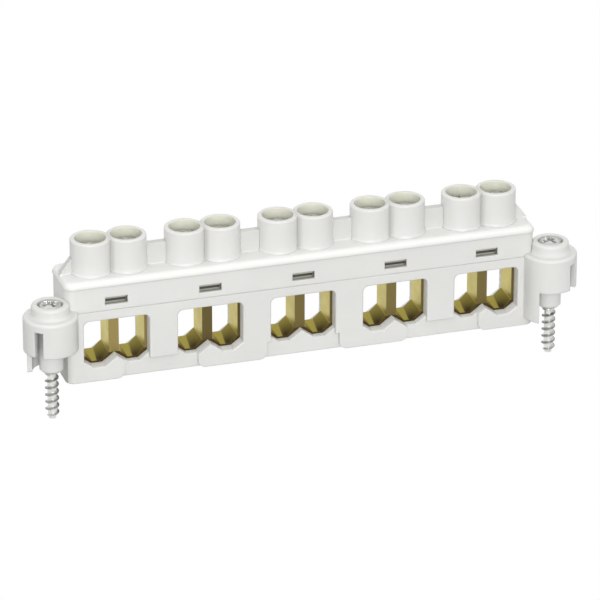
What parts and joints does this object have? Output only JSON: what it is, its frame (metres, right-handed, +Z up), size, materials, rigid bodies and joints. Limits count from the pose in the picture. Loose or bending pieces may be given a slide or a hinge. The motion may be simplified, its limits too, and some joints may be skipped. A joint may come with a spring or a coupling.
{
  "type": "screw terminal strip",
  "caption": "White moulded terminal strip: double-tunnel brass terminals behind windows, clamp screws in towers on top, and an ear with a captive fixing screw at each end.",
  "frame": {"origin": "middle of the base's underside, below the middle pole and in the plane of the clamp screws", "axes": "+X along the strip to the right, +Y from the front, where the ears are, to the back, +Z up along the clamp screws"},
  "size_m": [0.1492, 0.0222, 0.046],
  "materials": {
    "base_plastic": "moulded, satin",
    "cover_plastic": "moulded, satin",
    "terminal_brass": "extruded, bright",
    "clamp_steel": "zinc plated",
    "fixing_steel": "zinc plated"
  },
  "bodies": {
    "housing": {"base": "base_plastic", "cover": "cover_plastic", "towers_1": "cover_plastic", "towers_2": "cover_plastic", "towers_3": "cover_plastic", "towers_4": "cover_plastic", "towers_5": "cover_plastic", "terminal_1": "terminal_brass", "terminal_2": "terminal_brass", "terminal_3": "terminal_brass", "terminal_4": "terminal_brass", "terminal_5": "terminal_brass", "fixing_screw_left": "fixing_steel", "fixing_screw_right": "fixing_steel"},
    "screw_1a": {"clamp_screw_1a": "clamp_steel"},
    "screw_1b": {"clamp_screw_1b": "clamp_steel"},
    "screw_2a": {"clamp_screw_2a": "clamp_steel"},
    "screw_2b": {"clamp_screw_2b": "clamp_steel"},
    "screw_3a": {"clamp_screw_3a": "clamp_steel"},
    "screw_3b": {"clamp_screw_3b": "clamp_steel"},
    "screw_4a": {"clamp_screw_4a": "clamp_steel"},
    "screw_4b": {"clamp_screw_4b": "clamp_steel"},
    "screw_5a": {"clamp_screw_5a": "clamp_steel"},
    "screw_5b": {"clamp_screw_5b": "clamp_steel"}
  },
  "joints": [
    {"name": "clamp_1a", "type": "slide", "parent": "housing", "child": "screw_1a", "axis": [0, 0, -1], "range_m": [0, 0.01]},
    {"name": "clamp_1b", "type": "slide", "parent": "housing", "child": "screw_1b", "axis": [0, 0, -1], "range_m": [0, 0.01]},
    {"name": "clamp_2a", "type": "slide", "parent": "housing", "child": "screw_2a", "axis": [0, 0, -1], "range_m": [0, 0.01]},
    {"name": "clamp_2b", "type": "slide", "parent": "housing", "child": "screw_2b", "axis": [0, 0, -1], "range_m": [0, 0.01]},
    {"name": "clamp_3a", "type": "slide", "parent": "housing", "child": "screw_3a", "axis": [0, 0, -1], "range_m": [0, 0.01]},
    {"name": "clamp_3b", "type": "slide", "parent": "housing", "child": "screw_3b", "axis": [0, 0, -1], "range_m": [0, 0.01]},
    {"name": "clamp_4a", "type": "slide", "parent": "housing", "child": "screw_4a", "axis": [0, 0, -1], "range_m": [0, 0.01]},
    {"name": "clamp_4b", "type": "slide", "parent": "housing", "child": "screw_4b", "axis": [0, 0, -1], "range_m": [0, 0.01]},
    {"name": "clamp_5a", "type": "slide", "parent": "housing", "child": "screw_5a", "axis": [0, 0, -1], "range_m": [0, 0.01]},
    {"name": "clamp_5b", "type": "slide", "parent": "housing", "child": "screw_5b", "axis": [0, 0, -1], "range_m": [0, 0.01]}
  ]
}
